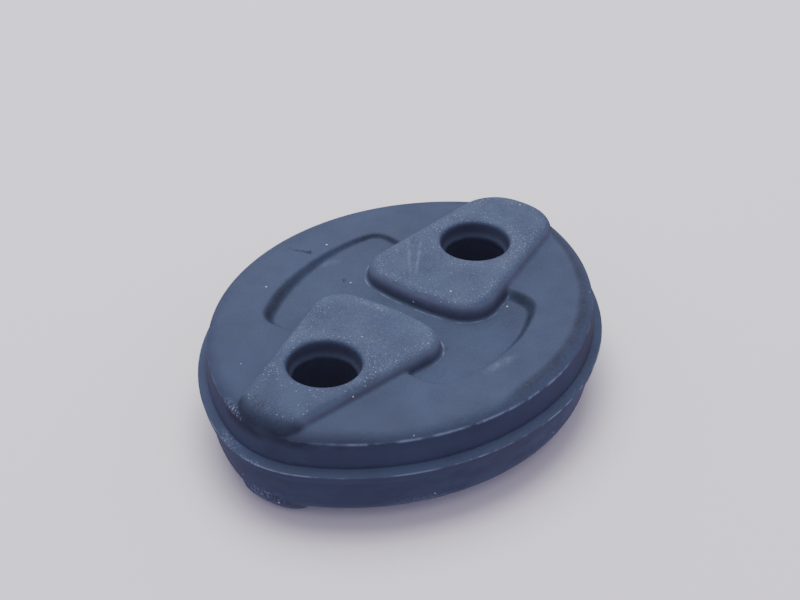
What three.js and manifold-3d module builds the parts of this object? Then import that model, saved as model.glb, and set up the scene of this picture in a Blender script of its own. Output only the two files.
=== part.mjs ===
// Rubber exhaust hanger: an oval cushion with two wedge bosses and a hole through each.
// Millimetres. The long axis lies along X, the holes run along Z, and the lower bosses rest on z = 0.
import * as THREE from "three";
import { mergeVertices } from "three/addons/utils/BufferGeometryUtils.js";
import Module from "manifold-3d";

// Body outline: four tangent arcs, measured at the parting line.
const BODY_LENGTH = 77;
const BODY_WIDTH = 61.4;
const BODY_END_RADIUS = 17;

// Thicknesses, each measured across both faces.
const BOSS_THICKNESS = 18;
const RING_THICKNESS = 14.8;
const EDGE_THICKNESS = 12.4;
const POCKET_THICKNESS = 12.4;

// Side of the body: a low flange on the upper half, and the walls over and under it.
const FLANGE_HEIGHT = 1.3;
const FLANGE_LEAN = 0.3;
const LEDGE_WIDTH = 1.5;
const LEDGE_RISE = 0.7;
const UPPER_WALL_LEAN = 0.25;
const LOWER_STEP = 0.9;
const LOWER_WALL_LEAN = 0.6;
const LOWER_CHAMFER_HEIGHT = 0.7;
const LOWER_CHAMFER_WIDTH = 0.35;
const SHOULDER_WIDTH = 2.4;
const SHOULDER_START = 40;

// Holes for the hanger rods.
const HOLE_PITCH = 41.5;
const HOLE_WAIST_RADIUS = 5;
const HOLE_MOUTH_RADIUS = 5.6;
const HOLE_BARREL_RADIUS = 5.3;
const HOLE_FUNNEL_DEPTH = 3;
const HOLE_LIP_HEIGHT = 0.8;
const HOLE_RIM_RADIUS = 0.6;

// Wedge bosses: their walls in plan. The right one is wider at its outer end than the left one.
const BOSS_GAP = 4.4;
const BOSS_INNER_WIDTH = 23.2;
const BOSS_INNER_CORNER = 5.4;
const BOSS_INNER_BULGE = 41.2;
const BOSS_OUTER_RADIUS = 15.1;
const RIGHT_OUTER_WIDTH = 17;
const RIGHT_OUTER_CORNER = 7.4;
const LEFT_OUTER_WIDTH = 12.4;
const LEFT_OUTER_CORNER = 4.2;

// Wedge bosses: the rounded edge over the walls, their draft, and how far they reach under the pocket floor.
const BOSS_SIDE_EDGE_RADIUS = 1.4;
const RIGHT_END_EDGE_RADIUS = 2;
const LEFT_END_EDGE_RADIUS = 3.4;
const BOSS_DRAFT = 8;
const BOSS_ROOT_DEPTH = 1;

// Where a boss's wall turns from side to outer end, as the X part of its outward direction.
const SIDE_FACING = 0.1;
const END_FACING = 0.6;

// Pocket between the bosses, at the ring face. It grows longer towards +Y, and its floor twists.
const POCKET_INSET = 10.5;
const POCKET_LENGTH = 29.6;
const POCKET_CORNER = 3.6;
const POCKET_SLOPE_WIDTH = 1.5;
const POCKET_FLARE = 0.0037;
const POCKET_TWIST = 0.0022;

// Fineness of the facets.
const END_ARC_STEPS = 16;
const SIDE_ARC_STEPS = 12;
const CORNER_STEPS = 5;
const BULGE_STEPS = 6;
const ROUND_STEPS = 3;
const SLOPE_STEPS = 4;
const HOLE_STEPS = 36;

const RUBBER = { color: 0x3f4f69, roughness: 0.85, metalness: 0 };

const wasm = await Module();
wasm.setup();

const rad = THREE.MathUtils.degToRad;

// Points of an arc with their outward normals. The last point belongs to the next arc.
function arc(cx, cy, radius, from, to, steps) {
  const points = [];
  for (let i = 0; i < steps; i++) {
    const angle = from + ((to - from) * i) / steps;
    const nx = Math.cos(angle);
    const ny = Math.sin(angle);
    points.push({ x: cx + radius * nx, y: cy + radius * ny, nx, ny });
  }
  return points;
}

// One ring of an outline, moved outwards by a distance.
function ring(outline, z, out) {
  return outline.map((p) => [p.x + p.nx * out, p.y + p.ny * out, z]);
}

// Closed solid through rings of equal length, from the lowest to the highest.
function loft(rings) {
  const count = rings[0].length;
  const positions = rings.flat(2);
  const indices = [];
  for (let k = 0; k + 1 < rings.length; k++) {
    for (let i = 0; i < count; i++) {
      const next = (i + 1) % count;
      const a = k * count + i;
      const b = k * count + next;
      indices.push(a, b, b + count, a, b + count, a + count);
    }
  }
  const lowest = positions.length / 3;
  positions.push(...middle(rings[0]), ...middle(rings[rings.length - 1]));
  const top = (rings.length - 1) * count;
  for (let i = 0; i < count; i++) {
    const next = (i + 1) % count;
    indices.push(lowest, next, i, lowest + 1, top + i, top + next);
  }
  const geometry = new THREE.BufferGeometry();
  geometry.setAttribute("position", new THREE.Float32BufferAttribute(positions, 3));
  geometry.setIndex(indices);
  return toSolid(geometry);
}

function middle(points) {
  return [0, 1, 2].map((axis) => points.reduce((sum, p) => sum + p[axis], 0) / points.length);
}

function toSolid(geometry) {
  const merged = mergeVertices(geometry, 1e-5);
  const mesh = new wasm.Mesh({
    numProp: 3,
    vertProperties: new Float32Array(merged.attributes.position.array),
    triVerts: new Uint32Array(merged.index.array),
  });
  return new wasm.Manifold(mesh);
}

function toGeometry(solid) {
  const mesh = solid.getMesh();
  const positions = [];
  for (let i = 0; i < mesh.vertProperties.length; i += mesh.numProp) {
    positions.push(mesh.vertProperties[i], mesh.vertProperties[i + 1], mesh.vertProperties[i + 2]);
  }
  const geometry = new THREE.BufferGeometry();
  geometry.setAttribute("position", new THREE.Float32BufferAttribute(positions, 3));
  geometry.setIndex(Array.from(mesh.triVerts));
  geometry.computeVertexNormals();
  return geometry;
}

// Centres and radii of the four arcs of the parting outline.
function bodyArcs() {
  const endX = BODY_LENGTH / 2 - BODY_END_RADIUS;
  const spare = BODY_WIDTH / 2 - BODY_END_RADIUS;
  const sideY = (endX * endX - spare * spare) / (2 * spare);
  const sideRadius = BODY_WIDTH / 2 + sideY;
  return { endX, sideY, sideRadius, turn: Math.atan2(sideY, endX) };
}

function bodyOutline() {
  const { endX, sideY, sideRadius, turn } = bodyArcs();
  return [
    ...arc(endX, 0, BODY_END_RADIUS, -turn, turn, END_ARC_STEPS),
    ...arc(0, -sideY, sideRadius, turn, Math.PI - turn, SIDE_ARC_STEPS * 2),
    ...arc(-endX, 0, BODY_END_RADIUS, Math.PI - turn, Math.PI + turn, END_ARC_STEPS),
    ...arc(0, sideY, sideRadius, Math.PI + turn, Math.PI * 2 - turn, SIDE_ARC_STEPS * 2),
  ];
}

// Rounded shoulder between the body's edge and the ring face, as heights and insets.
function shoulder(edge, edgeInset) {
  const rise = RING_THICKNESS / 2 - edge;
  const start = rad(SHOULDER_START);
  const points = [];
  for (let i = 1; i <= ROUND_STEPS; i++) {
    const angle = start + ((Math.PI / 2 - start) * i) / ROUND_STEPS;
    const up = (Math.sin(angle) - Math.sin(start)) / (1 - Math.sin(start));
    const along = (Math.cos(start) - Math.cos(angle)) / Math.cos(start);
    points.push([edge + rise * up, edgeInset + SHOULDER_WIDTH * along]);
  }
  return points;
}

// Heights over the parting plane and insets from the outline, from the parting line to the upper face.
function upperProfile() {
  const edge = EDGE_THICKNESS / 2;
  const edgeInset = LEDGE_WIDTH + UPPER_WALL_LEAN;
  return [
    [FLANGE_HEIGHT, 0],
    [FLANGE_HEIGHT + LEDGE_RISE, LEDGE_WIDTH],
    [edge, edgeInset],
    ...shoulder(edge, edgeInset),
  ];
}

// The same from the flange's underside to the lower face.
function lowerProfile() {
  const edge = EDGE_THICKNESS / 2;
  const wallTop = FLANGE_LEAN + LOWER_STEP;
  const wallFoot = wallTop + LOWER_WALL_LEAN;
  const edgeInset = wallFoot + LOWER_CHAMFER_WIDTH;
  return [
    [0, FLANGE_LEAN],
    [0, wallTop],
    [edge - LOWER_CHAMFER_HEIGHT, wallFoot],
    [edge, edgeInset],
    ...shoulder(edge, edgeInset),
  ];
}

function body() {
  const outline = bodyOutline();
  const lower = lowerProfile().map(([depth, inset]) => [-depth, inset]);
  const profile = [...lower.reverse(), ...upperProfile()];
  return loft(profile.map(([height, inset]) => ring(outline, height, -inset)));
}

// Wall of a boss that points to +X: bulged inner end, tapering sides, outer end about the body's end arc.
function bossOutline(outerWidth, outerCorner) {
  const { endX } = bodyArcs();
  const bulgeX = BOSS_GAP / 2 + BOSS_INNER_BULGE;
  const innerY = BOSS_INNER_WIDTH / 2 - BOSS_INNER_CORNER;
  const innerX = bulgeX - Math.sqrt((BOSS_INNER_BULGE - BOSS_INNER_CORNER) ** 2 - innerY ** 2);
  const outerY = outerWidth / 2 - outerCorner;
  const outerX = endX + Math.sqrt((BOSS_OUTER_RADIUS - outerCorner) ** 2 - outerY ** 2);
  const bulge = Math.atan2(innerY, bulgeX - innerX);
  const end = Math.atan2(outerY, outerX - endX);
  const apart = Math.hypot(outerX - innerX, outerY - innerY);
  const taper = Math.atan2(outerY - innerY, outerX - innerX);
  const side = taper + Math.acos((BOSS_INNER_CORNER - outerCorner) / apart);
  const turn = Math.PI * 2;
  return [
    ...arc(endX, 0, BOSS_OUTER_RADIUS, -end, end, BULGE_STEPS),
    ...arc(outerX, outerY, outerCorner, end, side, CORNER_STEPS),
    ...arc(outerX, outerY, outerCorner, side, side, 1),
    ...arc(innerX, innerY, BOSS_INNER_CORNER, side, Math.PI - bulge, CORNER_STEPS),
    ...arc(bulgeX, 0, BOSS_INNER_BULGE, Math.PI - bulge, Math.PI + bulge, BULGE_STEPS),
    ...arc(innerX, -innerY, BOSS_INNER_CORNER, Math.PI + bulge, turn - side, CORNER_STEPS),
    ...arc(innerX, -innerY, BOSS_INNER_CORNER, turn - side, turn - side, 1),
    ...arc(outerX, -outerY, outerCorner, turn - side, turn - end, CORNER_STEPS),
  ];
}

// A boss that points to +X. The draft fades out towards its outer end, and the edge grows rounder there.
function boss(outerWidth, outerCorner, endEdgeRadius) {
  const outline = bossOutline(outerWidth, outerCorner);
  const top = BOSS_THICKNESS / 2;
  const depth = top - POCKET_THICKNESS / 2 + BOSS_ROOT_DEPTH;
  const lean = Math.tan(rad(BOSS_DRAFT));
  const endShare = (p) => THREE.MathUtils.smoothstep(p.nx, SIDE_FACING, END_FACING);
  const roundness = (p) => THREE.MathUtils.smoothstep(p.nx, SIDE_FACING, 1);
  const edgeRadius = (p) => THREE.MathUtils.lerp(BOSS_SIDE_EDGE_RADIUS, endEdgeRadius, roundness(p));
  const step = (p, down, out) => [p.x + p.nx * out, p.y + p.ny * out, top - down];
  const rings = [outline.map((p) => step(p, depth, (depth - edgeRadius(p)) * lean * (1 - endShare(p))))];
  for (let i = ROUND_STEPS; i >= 0; i--) {
    const angle = (Math.PI / 2) * (i / ROUND_STEPS);
    const down = 1 - Math.cos(angle);
    const back = 1 - Math.sin(angle);
    rings.push(outline.map((p) => step(p, edgeRadius(p) * down, -edgeRadius(p) * back)));
  }
  return loft(rings);
}

// Pocket between the bosses, before its flare: two arcs parallel to the body's sides, and straight ends.
function pocketOutline() {
  const { sideY, sideRadius } = bodyArcs();
  const radius = sideRadius - POCKET_INSET;
  const cornerX = POCKET_LENGTH / 2 - POCKET_CORNER;
  const cornerY = Math.sqrt((radius - POCKET_CORNER) ** 2 - cornerX ** 2) - sideY;
  const turn = Math.atan2(cornerY + sideY, cornerX);
  return [
    ...arc(cornerX, cornerY, POCKET_CORNER, 0, turn, CORNER_STEPS),
    ...arc(0, -sideY, radius, turn, Math.PI - turn, SIDE_ARC_STEPS),
    ...arc(-cornerX, cornerY, POCKET_CORNER, Math.PI - turn, Math.PI, CORNER_STEPS),
    ...arc(-cornerX, -cornerY, POCKET_CORNER, Math.PI, Math.PI + turn, CORNER_STEPS),
    ...arc(0, sideY, radius, Math.PI + turn, Math.PI * 2 - turn, SIDE_ARC_STEPS),
    ...arc(cornerX, -cornerY, POCKET_CORNER, -turn, 0, CORNER_STEPS),
  ];
}

// A gently rounded slope leads down to the floor, whose twist makes each side deeper at one end.
function pocket() {
  const outline = pocketOutline();
  const face = RING_THICKNESS / 2;
  const depth = face - POCKET_THICKNESS / 2;
  const place = ([x, y], share) => {
    const flared = x * (1 + POCKET_FLARE * y);
    return [flared, y, face - share * (depth - POCKET_TWIST * flared * y)];
  };
  const rings = [];
  for (let i = SLOPE_STEPS; i >= 0; i--) {
    const inset = (POCKET_SLOPE_WIDTH * i) / SLOPE_STEPS;
    const share = THREE.MathUtils.smoothstep(inset, 0, POCKET_SLOPE_WIDTH);
    rings.push(ring(outline, face, -inset).map((p) => place(p, share)));
  }
  const above = rings[SLOPE_STEPS].map(([x, y]) => [x, y, BOSS_THICKNESS / 2]);
  return loft([...rings, above]);
}

// Cutter for one hole: rounded rim, funnel, lip and barrel, the same from both faces.
function hole() {
  const top = BOSS_THICKNESS / 2;
  const circle = arc(0, 0, 1, 0, Math.PI * 2, HOLE_STEPS);
  const upper = [
    [top - HOLE_FUNNEL_DEPTH - HOLE_LIP_HEIGHT, HOLE_BARREL_RADIUS],
    [top - HOLE_FUNNEL_DEPTH, HOLE_WAIST_RADIUS],
  ];
  for (let i = 0; i <= ROUND_STEPS; i++) {
    const angle = (Math.PI / 2) * (i / ROUND_STEPS);
    const radius = HOLE_MOUTH_RADIUS + HOLE_RIM_RADIUS * (1 - Math.cos(angle));
    upper.push([top - HOLE_RIM_RADIUS * (1 - Math.sin(angle)), radius]);
  }
  upper.push([top + HOLE_RIM_RADIUS, HOLE_MOUTH_RADIUS + HOLE_RIM_RADIUS]);
  const lower = upper.map(([height, radius]) => [-height, radius]).reverse();
  return loft([...lower, ...upper].map(([height, radius]) => ring(circle, height, radius - 1)));
}

// The same shape on the other face, or at the other end.
function bothFaces(solid) {
  return solid.add(solid.rotate([180, 0, 0]));
}

function otherEnd(solid) {
  return solid.rotate([0, 0, 180]);
}

function hanger() {
  const right = boss(RIGHT_OUTER_WIDTH, RIGHT_OUTER_CORNER, RIGHT_END_EDGE_RADIUS);
  const left = otherEnd(boss(LEFT_OUTER_WIDTH, LEFT_OUTER_CORNER, LEFT_END_EDGE_RADIUS));
  const bosses = bothFaces(right.add(left));
  const pockets = bothFaces(pocket());
  const rightHole = hole().translate([HOLE_PITCH / 2, 0, 0]);
  const solid = body().subtract(pockets).add(bosses).subtract(rightHole).subtract(otherEnd(rightHole));
  return solid.translate([0, 0, BOSS_THICKNESS / 2]);
}

const part = new THREE.Group();
part.name = "exhaust_hanger";
const mesh = new THREE.Mesh(toGeometry(hanger()), new THREE.MeshStandardMaterial(RUBBER));
mesh.name = "hanger_body";
part.add(mesh);

export default part;
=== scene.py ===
# Rubber exhaust hanger: its moulded body as one fine surface, its dusty finish with painted shade and painted
# highlights, a plain studio and a camera.
# The shape is worked out in millimetres from the middle plane, and the mesh is written in metres.
import math
from collections import namedtuple

import bpy
import numpy as np
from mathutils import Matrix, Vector


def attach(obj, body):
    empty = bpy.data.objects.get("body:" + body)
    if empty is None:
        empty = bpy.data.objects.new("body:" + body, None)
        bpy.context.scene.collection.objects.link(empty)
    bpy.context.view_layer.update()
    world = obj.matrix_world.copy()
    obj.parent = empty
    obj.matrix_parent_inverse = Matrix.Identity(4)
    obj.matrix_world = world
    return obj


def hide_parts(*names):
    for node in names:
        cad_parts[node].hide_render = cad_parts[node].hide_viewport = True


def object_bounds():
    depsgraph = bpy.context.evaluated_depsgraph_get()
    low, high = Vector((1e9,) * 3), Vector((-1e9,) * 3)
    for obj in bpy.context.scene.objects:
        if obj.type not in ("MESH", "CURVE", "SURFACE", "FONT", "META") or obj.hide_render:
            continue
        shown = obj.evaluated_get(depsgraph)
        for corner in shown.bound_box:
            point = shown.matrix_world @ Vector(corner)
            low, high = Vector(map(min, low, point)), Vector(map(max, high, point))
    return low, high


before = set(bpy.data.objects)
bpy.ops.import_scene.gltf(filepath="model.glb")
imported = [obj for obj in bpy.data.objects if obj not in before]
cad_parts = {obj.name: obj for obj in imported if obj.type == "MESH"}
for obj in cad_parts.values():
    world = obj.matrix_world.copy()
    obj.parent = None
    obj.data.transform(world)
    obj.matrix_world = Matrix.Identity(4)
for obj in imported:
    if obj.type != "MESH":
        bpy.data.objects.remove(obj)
cad_low, cad_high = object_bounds()

MM = 0.001
NODE = "hanger_body"

# Overall sizes, from the frame.
LENGTH = (cad_high.x - cad_low.x) / MM
WIDTH = (cad_high.y - cad_low.y) / MM
BOSS_TOP = (cad_high.z - cad_low.z) / MM / 2

# Heights over the middle plane.
RING_TOP = 7.4
EDGE_TOP = 6.2
POCKET_FLOOR = 6.2

# Side of the body: insets from the widest line, and heights.
END_RADIUS = 17
FLANGE_HEIGHT = 1.3
FLANGE_LEAN = 0.3
FLANGE_DEPTH = 4
FLANGE_FILLET = 0.25
LEDGE_WIDTH = 1.5
LEDGE_RISE = 0.7
LEDGE_TOP = FLANGE_HEIGHT + LEDGE_RISE
UPPER_WALL_LEAN = 0.25
UPPER_EDGE_INSET = LEDGE_WIDTH + UPPER_WALL_LEAN
LOWER_STEP = 0.9
LOWER_WALL_INSET = FLANGE_LEAN + LOWER_STEP
LOWER_WALL_LEAN = 0.6
LOWER_FOOT_INSET = LOWER_WALL_INSET + LOWER_WALL_LEAN
LOWER_EDGE_RADIUS = 0.7
SHOULDER_WIDTH = 2.4
SHOULDER_START = math.radians(40)
SHOULDER_STEPS = 8

# Wedge bosses: their walls in plan, and the rounded edge over them.
BOSS_GAP = 4.4
INNER_WIDTH = 23.2
INNER_CORNER = 5.4
INNER_BULGE = 41.2
OUTER_RADIUS = 15.25
RIGHT_OUTER_WIDTH = 17
RIGHT_OUTER_CORNER = 7.4
LEFT_OUTER_WIDTH = 12.4
LEFT_OUTER_CORNER = 4.2
SIDE_EDGE_RADIUS = 1.8
RIGHT_END_EDGE_RADIUS = 2
LEFT_END_EDGE_RADIUS = 3.4
SIDE_DRAFT = math.radians(8)
FOOT_FILLET = 0.4
END_FILLET = 0.05

# How far a boss's wall faces along the body, where it is still a side and where it is all end.
SIDE_FACING = 0.1
END_FACING = 0.6

# Pocket between the bosses. It flares by a share for each millimetre of y, and its floor twists by a depth
# for each square millimetre of x times y. Where it is deeper, its slope is wider and starts further out.
POCKET_INSET = 10.5
POCKET_LENGTH = 29.6
POCKET_CORNER = 3.6
POCKET_SLOPE_WIDTH = 1.5
POCKET_FLARE = 0.0037
POCKET_TWIST = 0.0022
POCKET_SLOPE_LIMIT = 0.5
POCKET_SPREAD = 1.2

# Holes: a rounded rim, a funnel with a small step, a waist, and a wider barrel under it.
HOLE_PITCH = 41.5
MOUTH_RADIUS = 5.7
STEP_RADIUS = 5.5
WAIST_RADIUS = 5
BARREL_RADIUS = 5.3
RIM_RADIUS = 0.9
STEP_DEPTH = 2.1
FUNNEL_DEPTH = 3
LIP_HEIGHT = 0.8

# Fineness of the surface, the least squared slope that a vertex is moved by, and how far from a boss the
# side's top edge is sharp.
CELL = 0.38
PROBE = 0.01
SETTLE_STEPS = 3
SETTLE_REACH = CELL / 3
LEAST_SLOPE = 0.2
SHARP_OFF_BOSS = 0.3

# Colours of the finish, with painted shade and painted light among them.
RUBBER = (0.036, 0.05, 0.095)
# Pale bloom on what faces up, with painted top light in it.
BLOOM_AND_TOP_LIGHT = (0.0405, 0.06, 0.108)
# Painted shade tint in the holes and at the foot of the walls.
HOLLOW_SHADE_TINT = (0.043, 0.052, 0.088)
# Painted light on the side walls of the bosses.
BOSS_WALL_LIGHT = (0.068, 0.085, 0.135)
# Colour of the painted shade.
SHADE = (0.009, 0.014, 0.03, 1)
# Colour of the dust film, also used for painted light on the walls at the left end.
DUST_FILM_AND_WALL_LIGHT = (0.062, 0.09, 0.145, 1)
DUST_GRAIN = (0.11, 0.15, 0.225, 1)
BRIGHT_GRAIN = (0.23, 0.3, 0.43, 1)
# Pale colour of the painted highlight lines and of the lighter rubbed places.
HIGHLIGHT_AND_RUB = (0.13, 0.17, 0.25, 1)
SCRATCH = (0.012, 0.018, 0.035, 1)
SPECK = (0.5, 0.55, 0.65, 1)

# Dust and bright grains: shares on the ring and the bosses, and what comes on top of them round the holes and
# along the boss edges, in bands given by their middle and their reach.
RING_DUST = 0.2
BOSS_DUST = 0.4
HOLE_DUST = 0.3
EDGE_DUST = 0.3
BOSS_GRAINS = 0.1
HOLE_GRAINS = 0.25
EDGE_GRAINS = 0.3
HOLE_BAND = (MOUTH_RADIUS + 0.9, 2.4)
EDGE_BAND = (-1.8, 1.2)

# Spans over which a share comes up from 0 to 1: of the upward part of the slope, of a height from the middle
# plane, of a distance out of an outline, or of a distance from a hole's axis.
FACING_UP = (0.2, 0.95)
BOSS_FACE = (RING_TOP + 0.6, BOSS_TOP - 0.1)
IN_HOLE = (MOUTH_RADIUS + 0.3, MOUTH_RADIUS - 0.2)
WALL_FOOT = (RING_TOP + 0.8, RING_TOP - 0.6)
BOSS_WALL_INNER = (-2, -1)
BOSS_WALL_OUTER = (1, 0.3)
BOSS_WALL_RISE = (RING_TOP - 1, RING_TOP)
BOSS_WALL_STEEP = (1, 0.6)

# Distances out of the body's outline: a place on the ring is less far out than the first, and one on the
# side's walls is further out than the second.
INLAND = -SHOULDER_WIDTH - 2
ON_SIDE = -LEDGE_WIDTH - 1

# Shares of the dusty film on the walls above and below the middle plane.
UPPER_WALL_FILM = 0.05
LOWER_WALL_FILM = 0.5

# Zones of painted shade and painted light: a strength, the span of x over which it comes up, and the span of
# y if it has one.
LEFT_TOP_SHADE = (0.5, (-16, -26), None)
LEFT_WALL_LIGHT = (0.3, (-28, -36), (6, 0))
LEFT_WALL_SHADE = (0.7, (-20, -30), None)
RIGHT_WALL_SHADE = (0.3, (4, 15), None)
RIGHT_RING_SHADE = (0.16, (-14, 0), (3, -12))

# Painted shade band along the shoulder: where it starts and ends in from the edge, and its strength. At the
# right it lies further in and is darker, at the left it is wider, and it is faint on the far side.
BAND_START = 0.1
BAND_END = 1.4
BAND_FADE = 0.2
BAND_SHADE = 0.2
BAND_RIGHT = (-15, -4)
BAND_RIGHT_SHIFT = 1.7
BAND_RIGHT_FADE = 1.6
BAND_RIGHT_SHADE = 0.6
BAND_LEFT = (-24, -32)
BAND_LEFT_WIDTH = 2.4
BAND_LEFT_SHADE = 0.3
BAND_NEAR = (14, -2)
BAND_FAR_SHARE = 0.15
BAND_RISE = EDGE_TOP - 0.3
BAND_OFF_BOSS = 0.2

# Painted shade in the pocket's slope, on its far and its near side: the span of y, the least strength, and
# what comes on top of it over spans of x. Beside a boss it fades.
POCKET_SLOPE_SHADE = [
    ((-6, 4), 0.5, [(0.5, (0, -12)), (0.3, (8, 12))]),
    ((4, -6), 0.1, [(0.85, (-5, 9)), (0.5, (-11, -14))]),
]
POCKET_SLOPE_SHADE_OFF_BOSS = (0, 2.2)

# Painted shade on the rounded end of the left boss.
END_SHADE_OUT = (-LEFT_END_EDGE_RADIUS - 1.5, -2)
END_SHADE_RISE = (EDGE_TOP - 2, EDGE_TOP)
END_SHADE_FLAT_LOSS = 0.5
END_SHADE_BELOW = 0.3

# Painted highlight on the top edge of the side, by spans of x and off the bosses, and on the near side of the
# hole lips.
FRONT_HIGHLIGHT_RIGHT = (12, 0)
FRONT_HIGHLIGHT_LEFT = (-36, -30)
RIGHT_END_HIGHLIGHT = (0.7, (31, 35), None)
LEAST_HIGHLIGHT = 0.3
HIGHLIGHT_OFF_BOSS = (SHARP_OFF_BOSS, 1)
LIP_HIGHLIGHT_SHIFT = 2.4
LIP_HIGHLIGHT_REACH = (5.2, 3.6)
LIP_HIGHLIGHT_HEIGHT = (6, 8)

# Rubbed places: x and y of the middle, half length, half width, direction in degrees, strength.
RUB_MARKS = [
    (10.7, 6.4, 6, 0.3, 37, 0.9),
    (11.4, 5, 6, 0.3, 30, 0.9),
    (4.2, 18, 2, 0.8, -27, 0.6),
    (-4.4, 2.9, 3, 0.9, -80, 0.7),
    (-3.8, -20.9, 3.4, 0.8, -13, 0.8),
    (3, 23.4, 2, 0.35, -78, -1),
    (3.7, 21.8, 0.5, 0.5, 0, -1),
    (1.6, 13.1, 0.7, 0.3, 40, -0.8),
    (-4.5, -11.1, 0.7, 0.5, 0, -0.8),
]

# Scuffed places on the side: x, y and height of the middle, reach along the side, reach in height, strength.
SCUFFS = [
    (-36.8, -0.2, -5.8, 3.5, 1.1, 0.6),
    (-37, 6.1, 1.6, 2.6, 0.4, 0.6),
    (-38.3, 0.7, 1.3, 2.2, 0.15, 1),
    (-35.4, 6.1, 6.5, 2.6, 0.35, 0.9),
    (-25.5, -21, -5.8, 5, 0.8, 0.35),
    (4, -30, 0, 3, 1.2, 0.35),
]

# Noises of the finish: size of the blots, detail, roughness, and how much flatter they are upright.
CLOUDS = (9, 3, 0.6, 1)
BLOTS = (4.5, 3, 0.55, 2.5)
GRAIN = (0.26, 2, 0.6, 1)
HIGHLIGHT_NOISE = (3, 3, 0.6, 1)
RUB_NOISE = (0.7, 3, 0.7, 1)
SCUFF_NOISE = (0.4, 3, 0.7, 1)

# Spans of a noise or a mark over which a share comes up from 0 to 1.
SHADE_BLOTS = (-0.1, 0.4)
FILM_BLOTS = (0.3, 0.7)
GRAIN_TIPS = (0.48, 0.74)
HIGHLIGHT_PIECES = (0.4, 0.65)
RUB_PIECES = (0.15, 0.7)
SCUFF_PIECES = (0.45, 0.7)
LIGHTER_RUB = (0, 1.4)
DARKER_RUB = (0, -1)

# Span of the clouds that makes the ground darker or lighter, the factors at its ends, and the roughness where
# the clouds are 0 and 1. The bumps are depths.
CLOUD_SPAN = (0.3, 0.7)
CLOUD_FACTORS = (0.85, 1.15)
ROUGHNESS = (0.62, 0.82)
GRAIN_BUMP = 0.02
CLOUD_BUMP = 0.35
SPECULAR = 0.3

# Bright specks: size of the cells that may hold one each, and its radius. The share says how many cells do.
GRAIN_CELLS = (0.45, 0.11)
SPECK_CELLS = (2.4, 0.2)
SPECK_SHARE = 0.3

# Painted highlight lines along the top edge, the flange's edge, the hole rims and the foot of the bosses: the
# middle and the half width of each, in plan and in height. The line at the foot fades near the edge of the
# body.
TOP_EDGE_LINE = (-UPPER_EDGE_INSET, 0.4)
TOP_EDGE_LINE_HEIGHT = (EDGE_TOP, 0.35)
FLANGE_LINE = (0, 0.3)
FLANGE_LINE_HEIGHT = (FLANGE_HEIGHT, 0.2)
RIM_LINE = (MOUTH_RADIUS + 0.1, 0.3)
FOOT_LINE = (0.55, 0.2)
FOOT_LINE_HEIGHT = (POCKET_FLOOR, 0.6)
FOOT_LINE_OUT = (-4.5, -6.5)

# Studio and camera, in metres, but for the lens and the sensor. The camera was fitted to the photograph.
FLOOR_SIZE = 6
FLOOR_COLOUR = (0.85, 0.85, 0.85, 1)
FLOOR_ROUGHNESS = 0.9
SKY_COLOUR = (1.05, 0.92, 1.2, 1)
SKY_STRENGTH = 0.65
KEY_PLACE = Vector((0.11, 0.13, 0.62))
KEY_SIZE = 0.55
KEY_POWER = 4.1
CAMERA_PLACE = Vector((-0.18723, -0.13225, 0.17913))
CAMERA_AIM = Vector((0.003113, 0.002858, 0.014648))
CAMERA_LENS = 79.12
CAMERA_SENSOR = 36
CAMERA_CLIP = 0.01

# What the shape needs to know of a place seen from above: how far it is out of the body's outline and out of
# the boss's wall, how much that wall is an end, the radius of its top edge, how far down the pocket's slope
# it is on the upper and the lower face, and how far from the hole's axis.
Plan = namedtuple("Plan", "out boss_out end_share edge_radius sunk_above sunk_below from_hole")


def smooth_step(value, low, high):
    share = np.clip((value - low) / (high - low), 0, 1)
    return share * share * (3 - 2 * share)


def bell(value, middle, reach):
    return np.exp(-(((value - middle) / reach) ** 2))


def mix(a, b, share):
    return a + (b - a) * share


def round_join(a, b, radius):
    """Union of two solids with a fillet."""
    inner = np.hypot(np.maximum(radius - a, 0), np.maximum(radius - b, 0))
    return np.maximum(radius, np.minimum(a, b)) - inner


def round_cut(a, b, radius):
    """Intersection of two solids with a rounded edge."""
    outer = np.hypot(np.maximum(a + radius, 0), np.maximum(b + radius, 0))
    return np.minimum(-radius, np.maximum(a, b)) + outer


def outside(arcs, x, y):
    """Distance out of a convex outline of tangent arcs, negative inside, and the angle that it faces."""
    best = np.full(np.shape(x), -np.inf)
    facing = np.zeros(np.shape(x))
    for centre_x, centre_y, radius, start, end in arcs:
        middle = (start + end) / 2
        half = (end - start) / 2
        angle = np.arctan2(y - centre_y, x - centre_x)
        turn = (angle - middle + math.pi) % (2 * math.pi) - math.pi
        held = np.clip(turn, -half, half)
        reach = np.hypot(x - centre_x, y - centre_y) * np.cos(turn - held) - radius
        nearer = reach > best
        best = np.where(nearer, reach, best)
        facing = np.where(nearer, middle + held, facing)
    return best, facing


def past_profile(points, out, height):
    """Distance out of a convex profile. Its points run from the lowest to the highest, as (out, height)."""
    best = np.full(np.shape(out), -np.inf)
    for (out_a, height_a), (out_b, height_b) in zip(points, points[1:]):
        run = out_b - out_a
        rise = height_b - height_a
        reach = ((out - out_a) * rise - (height - height_a) * run) / math.hypot(run, rise)
        best = np.maximum(best, reach)
    return best


def body_sizes():
    """Centre of the end arc, how far past the axis that of the side arc is, its radius, where they meet."""
    end_x = LENGTH / 2 - END_RADIUS
    spare = WIDTH / 2 - END_RADIUS
    below = (end_x**2 - spare**2) / (2 * spare)
    return end_x, below, WIDTH / 2 + below, math.atan2(below, end_x)


END_X, SIDE_Y, SIDE_RADIUS, SIDE_TURN = body_sizes()

# A quarter of the body's outline: arcs as the x and y of the centre, the radius, and the angles of both ends.
BODY_ARCS = [
    (END_X, 0, END_RADIUS, 0, SIDE_TURN),
    (0, -SIDE_Y, SIDE_RADIUS, SIDE_TURN, math.pi / 2),
]


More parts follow.
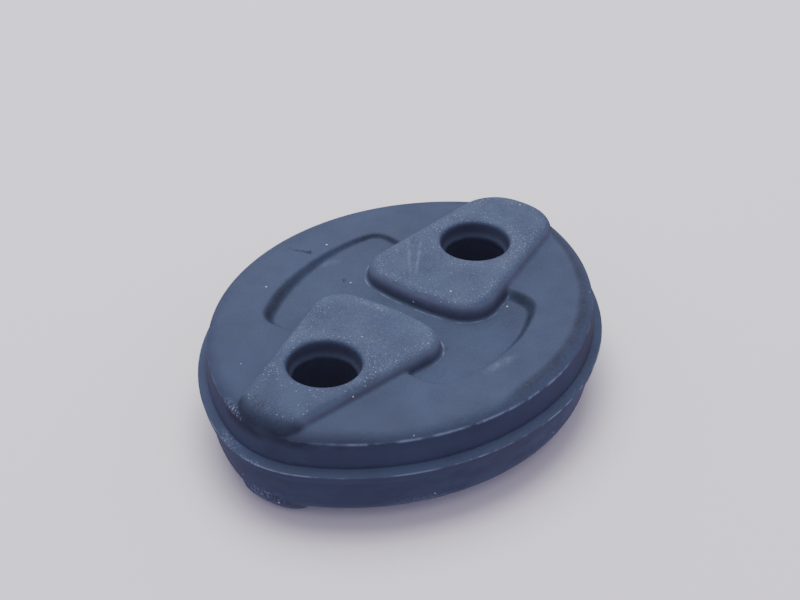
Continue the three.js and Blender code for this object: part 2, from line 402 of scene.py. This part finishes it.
def boss_arcs(outer_width, outer_corner):
    """Half of a boss's wall in plan, for one that points to +X."""
    bulge_x = BOSS_GAP / 2 + INNER_BULGE
    inner_y = INNER_WIDTH / 2 - INNER_CORNER
    inner_x = bulge_x - math.sqrt((INNER_BULGE - INNER_CORNER) ** 2 - inner_y**2)
    outer_y = outer_width / 2 - outer_corner
    outer_x = END_X + math.sqrt((OUTER_RADIUS - outer_corner) ** 2 - outer_y**2)
    bulge = math.atan2(inner_y, bulge_x - inner_x)
    end = math.atan2(outer_y, outer_x - END_X)
    apart = math.hypot(outer_x - inner_x, outer_y - inner_y)
    slope = math.atan2(outer_y - inner_y, outer_x - inner_x)
    side = slope + math.acos((INNER_CORNER - outer_corner) / apart)
    return [
        (END_X, 0, OUTER_RADIUS, 0, end),
        (outer_x, outer_y, outer_corner, end, side),
        (inner_x, inner_y, INNER_CORNER, side, math.pi - bulge),
        (bulge_x, 0, INNER_BULGE, math.pi - bulge, math.pi),
    ]


def pocket_arcs():
    """A quarter of the pocket's outline."""
    radius = SIDE_RADIUS - POCKET_INSET
    corner_x = POCKET_LENGTH / 2 - POCKET_CORNER
    corner_y = math.sqrt((radius - POCKET_CORNER) ** 2 - corner_x**2) - SIDE_Y
    turn = math.atan2(corner_y + SIDE_Y, corner_x)
    return [
        (corner_x, corner_y, POCKET_CORNER, 0, turn),
        (0, -SIDE_Y, radius, turn, math.pi / 2),
    ]


RIGHT_ARCS = boss_arcs(RIGHT_OUTER_WIDTH, RIGHT_OUTER_CORNER)
LEFT_ARCS = boss_arcs(LEFT_OUTER_WIDTH, LEFT_OUTER_CORNER)
POCKET_ARCS = pocket_arcs()


def shoulder(start_inset, sign):
    """Rounded shoulder from the body's edge in to the ring face, as (out, height)."""
    points = []
    for i in range(SHOULDER_STEPS + 1):
        angle = mix(SHOULDER_START, math.pi / 2, i / SHOULDER_STEPS)
        up = (math.sin(angle) - math.sin(SHOULDER_START)) / (1 - math.sin(SHOULDER_START))
        along = 1 - math.cos(angle) / math.cos(SHOULDER_START)
        height = mix(EDGE_TOP, RING_TOP, up)
        points.append((-start_inset - SHOULDER_WIDTH * along, sign * height))
    return points


# Profiles of the side, as (out, height).
CORE_PROFILE = [
    *reversed(shoulder(LOWER_FOOT_INSET + LOWER_EDGE_RADIUS / 2, -1)),
    (-LOWER_FOOT_INSET, LOWER_EDGE_RADIUS - EDGE_TOP),
    (-LOWER_WALL_INSET, 0),
    *shoulder(UPPER_EDGE_INSET, 1),
]
FLANGE_PROFILE = [
    (-FLANGE_DEPTH, 0),
    (-FLANGE_LEAN, 0),
    (0, FLANGE_HEIGHT),
    (-LEDGE_WIDTH, LEDGE_TOP),
    (-FLANGE_DEPTH, LEDGE_TOP + LEDGE_RISE / 4),
]

# Sharp edges of the side: height, inset, and whether the wall is above the edge.
SHARP_EDGES = [
    (EDGE_TOP, UPPER_EDGE_INSET, False),
    (LEDGE_TOP, LEDGE_WIDTH, True),
    (FLANGE_HEIGHT, 0, False),
    (0, FLANGE_LEAN, True),
]


def body_out(x, y):
    return outside(BODY_ARCS, np.abs(x), np.abs(y))[0]


def pocket_sunk(pocket_out, deeper):
    """How far down its slope a place of the pocket is, from 0 at the rim to 1 on the floor."""
    spread = POCKET_SPREAD * np.maximum(deeper, 0)
    return smooth_step(spread - pocket_out, 0, POCKET_SLOPE_WIDTH * (1 + deeper))


def plan(x, y):
    side_x = np.abs(x)
    side_y = np.abs(y)
    on_right = x > 0
    right_out, right_facing = outside(RIGHT_ARCS, side_x, side_y)
    left_out, left_facing = outside(LEFT_ARCS, side_x, side_y)
    endwards = np.cos(np.where(on_right, right_facing, left_facing))
    end_radius = np.where(on_right, RIGHT_END_EDGE_RADIUS, LEFT_END_EDGE_RADIUS)
    straight = x / (1 + POCKET_FLARE * y)
    pocket_out, _ = outside(POCKET_ARCS, np.abs(straight), side_y)
    twist = POCKET_TWIST * x * y / (RING_TOP - POCKET_FLOOR)
    deeper = -np.clip(twist, -POCKET_SLOPE_LIMIT, POCKET_SLOPE_LIMIT)
    return Plan(
        out=body_out(x, y),
        boss_out=np.where(on_right, right_out, left_out),
        end_share=smooth_step(endwards, SIDE_FACING, END_FACING),
        edge_radius=mix(SIDE_EDGE_RADIUS, end_radius, smooth_step(endwards, SIDE_FACING, 1)),
        sunk_above=pocket_sunk(pocket_out, deeper),
        sunk_below=pocket_sunk(pocket_out, -deeper),
        from_hole=np.hypot(side_x - HOLE_PITCH / 2, y),
    )


def body_field(seen, height):
    core = past_profile(CORE_PROFILE, seen.out, height)
    flange = past_profile(FLANGE_PROFILE, seen.out, height)
    return round_join(core, flange, FLANGE_FILLET)


def boss_field(seen, height):
    down = BOSS_TOP - np.abs(height)
    lean = math.tan(SIDE_DRAFT) * (1 - seen.end_share)
    wall = seen.boss_out - lean * np.maximum(down - seen.edge_radius, 0)
    return round_cut(-down, wall, seen.edge_radius)


def hole_field(seen, height):
    """How far a place is inside a hole's wall."""
    down = BOSS_TOP - np.abs(height)
    depths = [RIM_RADIUS, STEP_DEPTH, FUNNEL_DEPTH, FUNNEL_DEPTH + LIP_HEIGHT]
    wall = np.interp(down, depths, [MOUTH_RADIUS, STEP_RADIUS, WAIST_RADIUS, BARREL_RADIUS])
    return wall - seen.from_hole


def field(seen, x, y, height):
    """Below zero inside the rubber and above zero outside it."""
    sunk = np.where(height > 0, seen.sunk_above, seen.sunk_below)
    depth = RING_TOP - POCKET_FLOOR - POCKET_TWIST * x * y * np.sign(height)
    floor = np.abs(height) - RING_TOP + sunk * depth
    solid = np.maximum(body_field(seen, height), floor)
    solid = round_join(solid, boss_field(seen, height), mix(FOOT_FILLET, END_FILLET, seen.end_share))
    return round_cut(solid, hole_field(seen, height), RIM_RADIUS)


def field_at(points):
    x, y, height = points.T
    return field(plan(x, y), x, y, height)


def planes(marks, step):
    """Lattice planes that leave each mark in the middle of a cell."""
    middles = []
    for low, high in zip(marks, marks[1:]):
        count = max(1, round((high - low) / step))
        middles.extend(np.linspace(low, high, count, endpoint=False))
    middles.append(marks[-1])
    middles = np.array(middles)
    between = (middles[1:] + middles[:-1]) / 2
    below = [middles[0] - step, middles[0] - step / 2]
    above = [middles[-1] + step / 2, middles[-1] + step]
    return np.concatenate([below, between, above])


def surface_nets(values, axes):
    """One vertex in each lattice cell that the surface crosses, joined by a quad over each crossed edge."""
    inside = values < 0
    cells = np.array(values.shape) - 1
    quads = []
    crossings = []
    for axis in range(3):
        low = [slice(None)] * 3
        high = [slice(None)] * 3
        low[axis] = slice(0, -1)
        high[axis] = slice(1, None)
        start = np.argwhere(inside[tuple(low)] != inside[tuple(high)])
        end = start.copy()
        end[:, axis] += 1
        at_start = values[tuple(start.T)]
        at_end = values[tuple(end.T)]
        share = (at_start / (at_start - at_end))[:, None]
        start_point = np.stack([axes[k][start[:, k]] for k in range(3)], axis=1)
        end_point = np.stack([axes[k][end[:, k]] for k in range(3)], axis=1)
        crossings.append(mix(start_point, end_point, share))
        around = []
        for back_b, back_c in ((1, 1), (0, 1), (0, 0), (1, 0)):
            cell = start.copy()
            cell[:, (axis + 1) % 3] -= back_b
            cell[:, (axis + 2) % 3] -= back_c
            around.append(np.ravel_multi_index(tuple(cell.T), cells))
        around = np.stack(around, axis=1)
        leaving = inside[tuple(start.T)]
        quads.append(np.where(leaving[:, None], around, around[:, ::-1]))
    quads = np.concatenate(quads)
    crossings = np.concatenate(crossings)
    cell_ids, corners = np.unique(quads, return_inverse=True)
    places = np.stack(np.unravel_index(cell_ids, cells), axis=1)
    corners = corners.reshape(quads.shape)
    count = np.bincount(corners.ravel())
    vertices = [np.bincount(corners.ravel(), np.repeat(crossings[:, k], 4)) / count for k in range(3)]
    return np.stack(vertices, axis=1), corners, places


def slope_at(points):
    """Gradient of the field."""
    columns = []
    for axis in range(3):
        shift = np.zeros(3)
        shift[axis] = PROBE
        columns.append((field_at(points + shift) - field_at(points - shift)) / (2 * PROBE))
    return np.stack(columns, axis=1)


def settle(points):
    """Moves the vertices onto the surface."""
    for _ in range(SETTLE_STEPS):
        slope = slope_at(points)
        strength = np.maximum((slope**2).sum(axis=1), LEAST_SLOPE)
        step = slope * (field_at(points) / strength)[:, None]
        points = points - np.clip(step, -SETTLE_REACH, SETTLE_REACH)
    return points


def crease(points, places, inside, zs, height, inset, wall_above):
    """Moves the row of vertices along a sharp edge of the side onto it, and says which they are."""
    layer = np.searchsorted(zs, height) - 1
    plane = inside[:, :, layer + int(wall_above)]
    corners = plane[:-1, :-1].astype(int) + plane[1:, :-1] + plane[:-1, 1:] + plane[1:, 1:]
    crossed = (corners > 0) & (corners < 4)
    row = (places[:, 2] == layer) & crossed[places[:, 0], places[:, 1]]
    x, y = points[row, 0], points[row, 1]
    row[row] = np.abs(body_out(x, y) + inset) < CELL * 2
    x, y = points[row, 0], points[row, 1]
    slope_x = (body_out(x + PROBE, y) - body_out(x - PROBE, y)) / (2 * PROBE)
    slope_y = (body_out(x, y + PROBE) - body_out(x, y - PROBE)) / (2 * PROBE)
    excess = body_out(x, y) + inset
    placed = [x - excess * slope_x, y - excess * slope_y, np.full(x.shape, height)]
    points[row] = np.stack(placed, axis=1)
    return row


def mark_sharp(mesh, rows):
    """Hard shading along the edges that join two vertices of one row."""
    ends = np.empty(len(mesh.edges) * 2, dtype=np.int32)
    mesh.edges.foreach_get("vertices", ends)
    ends = ends.reshape(-1, 2)
    sharp = np.zeros(len(ends), dtype=bool)
    for row in rows:
        sharp |= row[ends[:, 0]] & row[ends[:, 1]]
    mesh.attributes.new("sharp_edge", "BOOLEAN", "EDGE").data.foreach_set("value", sharp)


def hanger_mesh():
    half_x = LENGTH / 2 + CELL
    half_y = WIDTH / 2 + CELL
    xs = np.linspace(-half_x, half_x, round(2 * half_x / CELL))
    ys = np.linspace(-half_y, half_y, round(2 * half_y / CELL))
    marks = [-BOSS_TOP, -RING_TOP, -EDGE_TOP, 0, FLANGE_HEIGHT, LEDGE_TOP, EDGE_TOP, RING_TOP, BOSS_TOP]
    zs = planes(marks, CELL)
    grid_x, grid_y = np.meshgrid(xs, ys, indexing="ij")
    seen = Plan(*(part[:, :, None] for part in plan(grid_x, grid_y)))
    values = field(seen, grid_x[:, :, None], grid_y[:, :, None], zs[None, None, :])
    points, quads, places = surface_nets(values, (xs, ys, zs))
    points = settle(points)
    rows = [crease(points, places, values < 0, zs, *edge) for edge in SHARP_EDGES]
    # The top edge is soft where the end of a boss runs down over it.
    rows[0] &= plan(points[:, 0], points[:, 1]).boss_out > SHARP_OFF_BOSS
    mesh = bpy.data.meshes.new("rubber_hanger")
    placed = points * MM
    placed[:, 2] += BOSS_TOP * MM
    mesh.from_pydata(placed.tolist(), [], quads.tolist())
    mesh.shade_smooth()
    mark_sharp(mesh, rows)
    add_measures(mesh, Spots(points))
    return mesh


class Spots:
    """The vertices, with what the finish needs to know of each."""

    def __init__(self, points):
        self.x, self.y, self.height = points.T
        self.rise = np.abs(self.height)
        self.above = self.height > 0
        self.seen = plan(self.x, self.y)
        self.sunk = np.where(self.above, self.seen.sunk_above, self.seen.sunk_below)
        self.facing_up = smooth_step(np.abs(slope_at(points)[:, 2]), *FACING_UP)
        self.facing_out = 1 - self.facing_up
        self.on_side = self.seen.out > ON_SIDE

    def zone(self, strength, span_x, span_y):
        """How strong a zone of painted shade and painted light is at each vertex."""
        share = smooth_step(self.x, *span_x)
        if span_y:
            share = share * smooth_step(self.y, *span_y)
        return strength * share


def dust_and_grains(spots):
    """Shares of dust and of bright grains on what faces up."""
    on_boss = smooth_step(spots.rise, *BOSS_FACE)
    round_hole = bell(spots.seen.from_hole, *HOLE_BAND)
    along_edge = bell(spots.seen.boss_out, *EDGE_BAND)
    dust = RING_DUST + on_boss * (BOSS_DUST + HOLE_DUST * round_hole + EDGE_DUST * along_edge)
    # Less dust towards the left end, as painted shade.
    dust *= 1 - spots.zone(*LEFT_TOP_SHADE)
    grains = on_boss * (BOSS_GRAINS + HOLE_GRAINS * round_hole + EDGE_GRAINS * along_edge)
    return dust * spots.facing_up, grains * spots.facing_up


def ground_colour(spots):
    """Colour of the rubber under its dust: bloom with painted top light on what faces up, a painted shade
    tint in the holes and at the foot of the walls, and painted light on the side walls of the bosses.
    """
    seen = spots.seen
    in_hole = smooth_step(seen.from_hole, *IN_HOLE) * spots.facing_out
    wall_foot = smooth_step(spots.rise, *WALL_FOOT) * (seen.out < INLAND) * spots.facing_out
    boss_wall = smooth_step(seen.boss_out, *BOSS_WALL_INNER) * smooth_step(seen.boss_out, *BOSS_WALL_OUTER)
    boss_wall *= smooth_step(spots.rise, *BOSS_WALL_RISE) * smooth_step(spots.facing_up, *BOSS_WALL_STEEP)
    layers = [
        # Bloom with painted top light on what faces up.
        (BLOOM_AND_TOP_LIGHT, spots.facing_up),
        # Painted shade tint in the holes and at the foot of the walls.
        (HOLLOW_SHADE_TINT, np.maximum(in_hole, wall_foot)),
        # Painted light on the side walls of the bosses.
        (BOSS_WALL_LIGHT, boss_wall * (1 - seen.end_share)),
    ]
    ground = np.tile(RUBBER, (len(spots.x), 1))
    for colour, share in layers:
        ground = mix(ground, np.array(colour), share[:, None])
    return ground


def wall_film_and_light(spots):
    """Share of the dusty film on the walls, less of it towards the left end as painted shade, and more on the
    near walls at the far left end as painted light.
    """
    film = np.where(spots.height < 0, LOWER_WALL_FILM, UPPER_WALL_FILM) * spots.on_side
    # Less film towards the left end, as painted shade.
    film = film * (1 - spots.zone(*LEFT_WALL_SHADE))
    # Painted light on the near walls at the far left end.
    return np.maximum(film, spots.zone(*LEFT_WALL_LIGHT)) * spots.facing_out


def shoulder_band(spots):
    """Strength of the painted shade band along the shoulder."""
    out, boss_out = spots.seen.out, spots.seen.boss_out
    right = smooth_step(spots.x, *BAND_RIGHT)
    left = smooth_step(spots.x, *BAND_LEFT)
    shift = BAND_RIGHT_SHIFT * right
    start = -UPPER_EDGE_INSET - BAND_START - shift
    end = -UPPER_EDGE_INSET - BAND_END - shift - BAND_LEFT_WIDTH * left
    outer_end = -UPPER_EDGE_INSET + BAND_FADE
    faded = -UPPER_EDGE_INSET - BAND_FADE - BAND_RIGHT_FADE * right
    band = smooth_step((out - end) / (start - end), 0, 1) * smooth_step(out, outer_end, faded)
    band *= BAND_SHADE + BAND_RIGHT_SHADE * right + BAND_LEFT_SHADE * left
    band *= mix(BAND_FAR_SHARE, 1, smooth_step(spots.y, *BAND_NEAR))
    return band * (spots.rise > BAND_RISE) * (boss_out > BAND_OFF_BOSS)


def pocket_slope_shade(spots):
    """Strength of the painted shade in the pocket's slope, most halfway down."""
    total = 0
    for span_y, least, extras in POCKET_SLOPE_SHADE:
        strength = least + sum(extra * smooth_step(spots.x, *span_x) for extra, span_x in extras)
        total = total + strength * smooth_step(spots.y, *span_y)
    halfway = np.sqrt(4 * spots.sunk * (1 - spots.sunk))
    return total * halfway * smooth_step(spots.seen.boss_out, *POCKET_SLOPE_SHADE_OFF_BOSS)


def left_end_shade(spots):
    """Strength of the painted shade on the rounded end of the left boss."""
    share = spots.seen.end_share * smooth_step(spots.seen.boss_out, *END_SHADE_OUT) * (spots.x < 0)
    share *= smooth_step(spots.rise, *END_SHADE_RISE) * (1 - END_SHADE_FLAT_LOSS * spots.facing_up)
    return share * np.where(spots.above, 1, END_SHADE_BELOW)


def shade(spots):
    """Strength of all the painted shade that makes the rubber darker."""
    right_wall = spots.zone(*RIGHT_WALL_SHADE) * spots.facing_out * spots.on_side * (spots.height > LEDGE_TOP)
    right_ring = spots.zone(*RIGHT_RING_SHADE) * spots.facing_up * (spots.seen.boss_out > 0)
    shades = [shoulder_band(spots), right_wall, right_ring, pocket_slope_shade(spots), left_end_shade(spots)]
    return np.max(shades, axis=0)


def top_edge_highlight(spots):
    """Strength of the painted highlight along the side's top edge."""
    front = smooth_step(spots.x, *FRONT_HIGHLIGHT_RIGHT) * smooth_step(spots.x, *FRONT_HIGHLIGHT_LEFT) * (spots.y < 0)
    top_edge_lit = np.maximum(np.maximum(front, spots.zone(*RIGHT_END_HIGHLIGHT)), LEAST_HIGHLIGHT)
    return top_edge_lit * smooth_step(spots.seen.boss_out, *HIGHLIGHT_OFF_BOSS)


def lip_highlight(spots):
    """Strength of the painted highlight on the near side of the upper hole lips."""
    from_hole_x = spots.x - np.sign(spots.x) * HOLE_PITCH / 2
    away = np.hypot(from_hole_x + LIP_HIGHLIGHT_SHIFT, spots.y + LIP_HIGHLIGHT_SHIFT)
    return smooth_step(away, *LIP_HIGHLIGHT_REACH) * smooth_step(spots.height, *LIP_HIGHLIGHT_HEIGHT)


def rubs(spots):
    """Strength of the rubbed places on the upper face, lighter above zero and darker below it."""
    total = np.zeros(spots.x.shape)
    for middle_x, middle_y, half_length, half_width, angle, strength in RUB_MARKS:
        turn = math.radians(angle)
        off_x = spots.x - middle_x
        off_y = spots.y - middle_y
        along = off_x * math.cos(turn) + off_y * math.sin(turn)
        across = off_y * math.cos(turn) - off_x * math.sin(turn)
        total += strength * np.exp(-((along / half_length) ** 4) - (across / half_width) ** 2)
    return total * spots.facing_up * spots.above


def scuffs(spots):
    """Strength of the scuffed places on the side."""
    total = np.zeros(spots.x.shape)
    for middle_x, middle_y, middle_height, reach, rise, strength in SCUFFS:
        away = np.hypot(spots.x - middle_x, spots.y - middle_y) / reach
        up = (spots.height - middle_height) / rise
        total += strength * np.exp(-(away**4) - up**2)
    return total


def add_measures(mesh, spots):
    """What the material reads at each vertex: ground colour, distances in plan, and shares of the finish,
    painted shade and painted highlights among them.
    """
    dust, grains = dust_and_grains(spots)
    measures = {
        "out": spots.seen.out,
        "boss_out": spots.seen.boss_out,
        "from_hole": spots.seen.from_hole,
        # Dust and wall film, with the painted shade and light of the left end in it.
        "film": dust + wall_film_and_light(spots),
        "dust": dust,
        "grains": grains,
        "shade": shade(spots),
        "top_edge_lit": top_edge_highlight(spots),
        "lip": lip_highlight(spots),
        "rub": rubs(spots),
        "scuff": scuffs(spots),
    }
    ground = ground_colour(spots).astype(np.float32)
    mesh.attributes.new("ground", "FLOAT_VECTOR", "POINT").data.foreach_set("vector", ground.ravel())
    for name, values in measures.items():
        attribute = mesh.attributes.new(name, "FLOAT", "POINT")
        attribute.data.foreach_set("value", values.astype(np.float32))


class Tree:
    """Short calls for the nodes that the rubber needs."""

    def __init__(self, material):
        self.tree = material.node_tree
        self.place = self.tree.nodes.new("ShaderNodeTexCoord").outputs["Object"]

    def made(self, kind, inputs, **settings):
        node = self.tree.nodes.new(kind)
        for name, value in settings.items():
            setattr(node, name, value)
        for socket, value in inputs:
            self.feed(node.inputs[socket], value)
        return node

    def feed(self, socket, value):
        """Links a socket to another, or sets it to a plain value."""
        if isinstance(value, bpy.types.NodeSocket):
            self.tree.links.new(value, socket)
        else:
            socket.default_value = value

    def maths(self, operation, *values):
        return self.made("ShaderNodeMath", enumerate(values), operation=operation).outputs[0]

    def both(self, a, b):
        return self.maths("MULTIPLY", a, b)

    def height_over_middle(self):
        """Height over the middle plane, in millimetres."""
        z = self.made("ShaderNodeSeparateXYZ", [("Vector", self.place)]).outputs["Z"]
        return self.maths("MULTIPLY_ADD", z, 1 / MM, -BOSS_TOP)

    def bump(self, height, depth, under=None):
        """Bump of a depth in millimetres, over another one if there is one."""
        inputs = [("Height", height), ("Strength", 1), ("Distance", depth * MM)]
        if under:
            inputs.append(("Normal", under))
        return self.made("ShaderNodeBump", inputs).outputs["Normal"]

    def measure(self, name):
        return self.made("ShaderNodeAttribute", [], attribute_name=name).outputs["Fac"]

    def noise(self, size, detail, roughness, flatten):
        """Cloudy noise from 0 to 1, with blots of a size in millimetres, made flatter upright by a factor."""
        place = self.place
        if flatten != 1:
            inputs = [("Vector", place), ("Scale", (1, 1, flatten))]
            place = self.made("ShaderNodeMapping", inputs).outputs[0]
        inputs = [("Vector", place), ("Scale", 1 / (size * MM)), ("Detail", detail), ("Roughness", roughness)]
        return self.made("ShaderNodeTexNoise", inputs).outputs["Fac"]

    def between(self, value, low, high):
        """Smooth rise from 0 to 1."""
        inputs = [("Value", value), ("From Min", low), ("From Max", high)]
        return self.made("ShaderNodeMapRange", inputs, interpolation_type="SMOOTHSTEP").outputs["Result"]

    def moved(self, value, low, high, new_low, new_high):
        """A value between two marks, moved evenly to between two others."""
        inputs = [("Value", value), ("From Min", low), ("From Max", high)]
        inputs += [("To Min", new_low), ("To Max", new_high)]
        return self.made("ShaderNodeMapRange", inputs).outputs["Result"]

    def line(self, value, middle, half_width):
        """1 on a line where the value is at the middle, down to 0 beside it."""
        off = self.maths("ABSOLUTE", self.maths("SUBTRACT", value, middle))
        return self.between(off, half_width, 0)

    def mix(self, share, under, over):
        """A colour with another one over a share of it."""
        node = self.made("ShaderNodeMix", [(0, share)], data_type="RGBA")
        # A Mix node keeps its two colours and its resulting colour on these sockets.
        self.feed(node.inputs[6], under)
        self.feed(node.inputs[7], over)
        return node.outputs[2]

    def specks(self, size, radius, share):
        """Scattered round specks: size of the cells that may hold one each, radius, and share that do."""
        inputs = [("Vector", self.place), ("Scale", 1 / (size * MM))]
        cells = self.made("ShaderNodeTexVoronoi", inputs)
        spot = self.between(cells.outputs["Distance"], radius / size, radius / size / 2)
        chosen = self.maths("GREATER_THAN", self.maths("ADD", cells.outputs["Color"], share), 1)
        return self.both(spot, chosen)


def edge_highlights(tree):
    """Painted highlights: thin pale lines along the sharp edges, the hole rims and the foot of the bosses,
    broken up by noise.
    """
    height = tree.height_over_middle()
    out = tree.measure("out")
    top_edge = tree.both(tree.line(out, *TOP_EDGE_LINE), tree.line(height, *TOP_EDGE_LINE_HEIGHT))
    flange_edge = tree.both(tree.line(out, *FLANGE_LINE), tree.line(height, *FLANGE_LINE_HEIGHT))
    rim = tree.line(tree.measure("from_hole"), *RIM_LINE)
    foot = tree.both(tree.line(tree.measure("boss_out"), *FOOT_LINE), tree.line(height, *FOOT_LINE_HEIGHT))
    shown = [
        tree.both(top_edge, tree.measure("top_edge_lit")),
        tree.both(rim, tree.measure("lip")),
        tree.both(foot, tree.between(out, *FOOT_LINE_OUT)),
    ]
    lines = flange_edge
    for line in shown:
        lines = tree.maths("MAXIMUM", lines, line)
    return tree.both(lines, tree.between(tree.noise(*HIGHLIGHT_NOISE), *HIGHLIGHT_PIECES))


def rubber_colour(tree, clouds, grain):
    ground = tree.made("ShaderNodeAttribute", [], attribute_name="ground").outputs["Vector"]
    factor = tree.moved(clouds, *CLOUD_SPAN, *CLOUD_FACTORS)
    colour = tree.made("ShaderNodeVectorMath", [(0, ground), ("Scale", factor)], operation="SCALE").outputs[0]
    blots = tree.noise(*BLOTS)
    rub = tree.both(tree.measure("rub"), tree.between(tree.noise(*RUB_NOISE), *RUB_PIECES))
    scuff = tree.both(tree.measure("scuff"), tree.between(tree.noise(*SCUFF_NOISE), *SCUFF_PIECES))
    layers = [
        # Painted shade, broken into blots.
        (tree.both(tree.measure("shade"), tree.between(blots, *SHADE_BLOTS)), SHADE),
        (tree.both(tree.measure("film"), tree.between(blots, *FILM_BLOTS)), DUST_FILM_AND_WALL_LIGHT),
        (tree.both(tree.measure("dust"), tree.between(grain, *GRAIN_TIPS)), DUST_GRAIN),
        (tree.specks(*GRAIN_CELLS, tree.measure("grains")), BRIGHT_GRAIN),
        # Painted highlight lines along the edges.
        (edge_highlights(tree), HIGHLIGHT_AND_RUB),
        (tree.between(rub, *LIGHTER_RUB), HIGHLIGHT_AND_RUB),
        (tree.between(rub, *DARKER_RUB), SCRATCH),
        (scuff, BRIGHT_GRAIN),
        (tree.specks(*SPECK_CELLS, SPECK_SHARE), SPECK),
    ]
    for share, over in layers:
        colour = tree.mix(share, colour, over)
    return colour


def rubber_material():
    material = bpy.data.materials.new("dusty_rubber_with_painted_light")
    material.use_nodes = True
    tree = Tree(material)
    clouds = tree.noise(*CLOUDS)
    grain = tree.noise(*GRAIN)
    shader = material.node_tree.nodes["Principled BSDF"]
    tree.feed(shader.inputs["Base Color"], rubber_colour(tree, clouds, grain))
    tree.feed(shader.inputs["Normal"], tree.bump(clouds, CLOUD_BUMP, tree.bump(grain, GRAIN_BUMP)))
    tree.feed(shader.inputs["Roughness"], tree.moved(clouds, 0, 1, *ROUGHNESS))
    shader.inputs["Specular IOR Level"].default_value = SPECULAR
    return material


def add_hanger():
    piece = bpy.data.objects.new("rubber_hanger", hanger_mesh())
    bpy.context.scene.collection.objects.link(piece)
    piece.data.materials.append(rubber_material())
    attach(piece, "root")
    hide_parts(NODE)


def add_floor():
    """Pale floor that takes the shadow and throws no light back."""
    bpy.ops.mesh.primitive_plane_add(size=FLOOR_SIZE)
    floor = bpy.context.object
    floor.name = "floor"
    material = bpy.data.materials.new("pale_floor")
    material.use_nodes = True
    shader = material.node_tree.nodes["Principled BSDF"]
    shader.inputs["Base Color"].default_value = FLOOR_COLOUR
    shader.inputs["Roughness"].default_value = FLOOR_ROUGHNESS
    floor.data.materials.append(material)
    floor.visible_diffuse = False
    floor.visible_glossy = False


def add_key_light():
    data = bpy.data.lights.new("key", "AREA")
    data.shape = "DISK"
    data.size = KEY_SIZE
    data.energy = KEY_POWER
    light = bpy.data.objects.new("key", data)
    light.location = KEY_PLACE
    light.rotation_euler = (CAMERA_AIM - KEY_PLACE).to_track_quat("-Z", "Y").to_euler()
    bpy.context.scene.collection.objects.link(light)


def add_sky():
    world = bpy.data.worlds.new("studio")
    world.use_nodes = True
    world.node_tree.nodes["Background"].inputs["Color"].default_value = SKY_COLOUR
    world.node_tree.nodes["Background"].inputs["Strength"].default_value = SKY_STRENGTH
    bpy.context.scene.world = world


def add_camera():
    data = bpy.data.cameras.new("camera")
    data.lens = CAMERA_LENS
    data.sensor_width = CAMERA_SENSOR
    data.clip_start = CAMERA_CLIP
    camera = bpy.data.objects.new("camera", data)
    camera.location = CAMERA_PLACE
    camera.rotation_euler = (CAMERA_AIM - CAMERA_PLACE).to_track_quat("-Z", "Y").to_euler()
    bpy.context.scene.collection.objects.link(camera)
    bpy.context.scene.camera = camera


add_camera()
add_hanger()
add_floor()
add_sky()
add_key_light()
